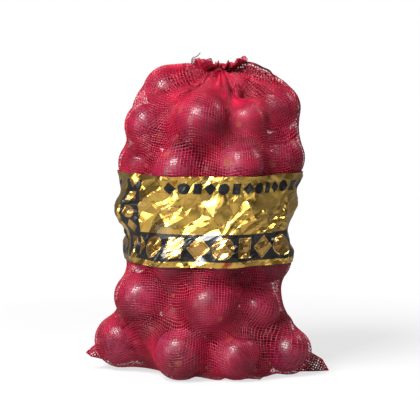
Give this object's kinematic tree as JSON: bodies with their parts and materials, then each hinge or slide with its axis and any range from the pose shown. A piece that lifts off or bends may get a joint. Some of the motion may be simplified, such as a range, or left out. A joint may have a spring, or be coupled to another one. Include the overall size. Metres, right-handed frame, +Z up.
{
  "type": "net of red onions",
  "caption": "Woven net bag packed with red onions, gathered at the top by a drawstring, with a band of printed metallised film round its middle; stands upright.",
  "frame": {"origin": "on the floor, under the middle of the bag's bounding box, bottom ears included", "axes": "+Z up towards the neck; -Y to the front, the broad side that the picture shows; +X to the viewer's right"},
  "size_m": [0.281, 0.171, 0.365],
  "materials": {
    "net": "woven crimson plastic net over the papery magenta skins of red onions",
    "onion_skin": "thin papery magenta onion skin with a satin sheen, tan at the neck and roots",
    "film": "crinkled gold metallised film with black printed fields",
    "drawstring": "black braided cord"
  },
  "bodies": {
    "root": {"net_bag": "net", "film_band": "film", "drawstring": "drawstring", "drawstring_tail": "drawstring", "drawstring_knot": "drawstring"}
  },
  "joints": []
}
